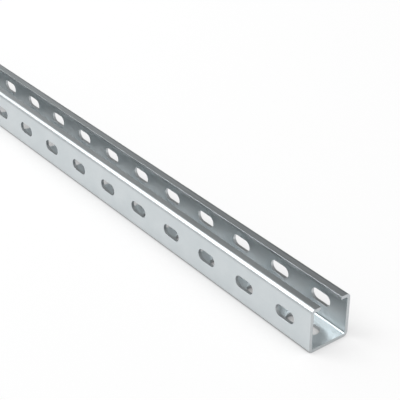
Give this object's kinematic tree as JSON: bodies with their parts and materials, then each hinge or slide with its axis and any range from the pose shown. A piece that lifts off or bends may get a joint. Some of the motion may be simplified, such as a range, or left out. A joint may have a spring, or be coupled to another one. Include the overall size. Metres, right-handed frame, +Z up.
{
  "type": "c-profile mounting rail",
  "caption": "Straight C-profile mounting rail of zinc-plated steel strip, with inturned lips at its mouth and rows of long slots in its base and side walls.",
  "frame": {"origin": "middle of the rail's length, on the centre line of the underside of its base", "axes": "+X along the rail, towards the end from which the slots are counted; +Z up, out of the open mouth; +Y across, from the front wall to the rear wall"},
  "size_m": [1, 0.041, 0.041],
  "materials": {
    "zinc_plated_steel": "smooth bluish zinc plating, satin"
  },
  "bodies": {
    "root": {"c_profile_rail": "zinc_plated_steel"}
  },
  "joints": []
}
